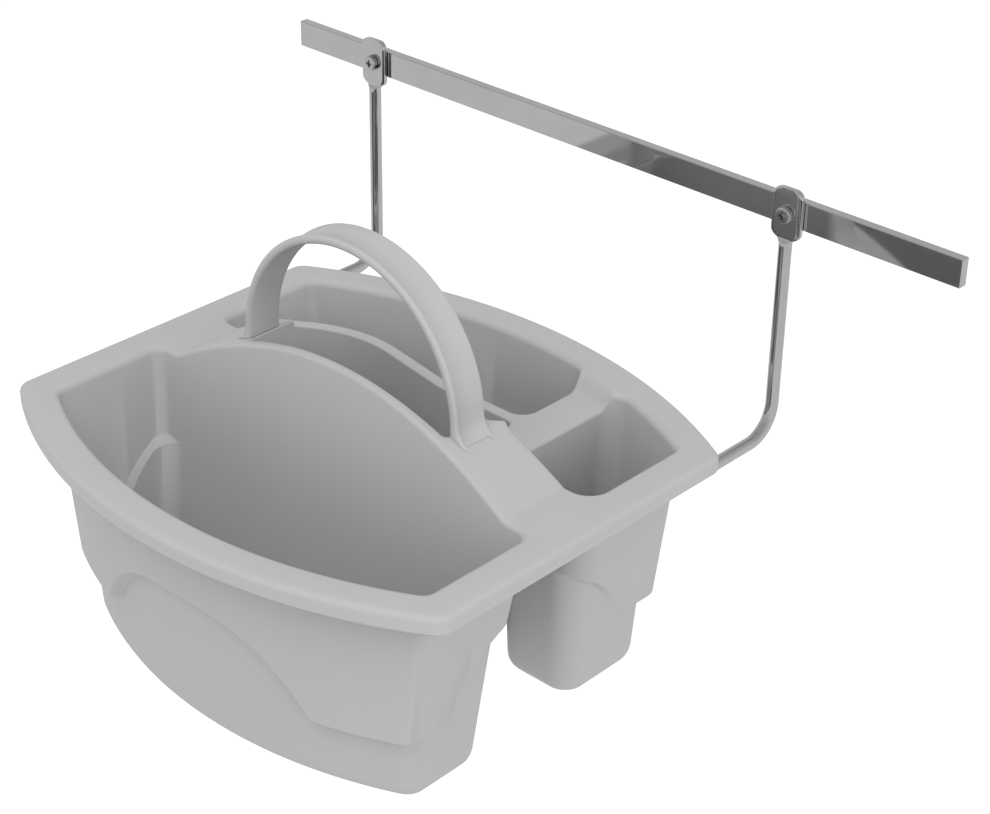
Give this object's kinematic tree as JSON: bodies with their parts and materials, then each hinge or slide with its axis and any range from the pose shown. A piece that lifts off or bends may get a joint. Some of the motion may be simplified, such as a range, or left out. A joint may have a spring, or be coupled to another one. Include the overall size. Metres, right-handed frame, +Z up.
{
  "type": "cleaning caddy with wall rail hanger",
  "caption": "Moulded cleaning caddy with bins either side of a raised web, an arch handle, and a bent rod hanger screwed to a flat wall rail.",
  "frame": {"origin": "on the back face of the wall rail, over the middle of the caddy and at half the rail's height", "axes": "+X along the rail to the right as seen from the room, +Y into the wall, +Z up"},
  "size_m": [0.5565, 0.3738, 0.3176],
  "materials": {
    "rail_chrome": "polished chrome plate",
    "rod_chrome": "polished chrome plate",
    "screw_steel": "bright zinc or chrome plate",
    "tub_plastic": "light grey satin moulded plastic",
    "handle_plastic": "light grey satin moulded plastic"
  },
  "bodies": {
    "hanger": {"rail": "rail_chrome", "hanger_rod": "rod_chrome", "screw_left": "screw_steel", "screw_right": "screw_steel"},
    "caddy": {"tub": "tub_plastic", "handle": "handle_plastic"}
  },
  "joints": [
    {"name": "caddy_lift", "type": "slide", "parent": "hanger", "child": "caddy", "axis": [0, 0, 1], "range_m": [0, 0.22]}
  ]
}
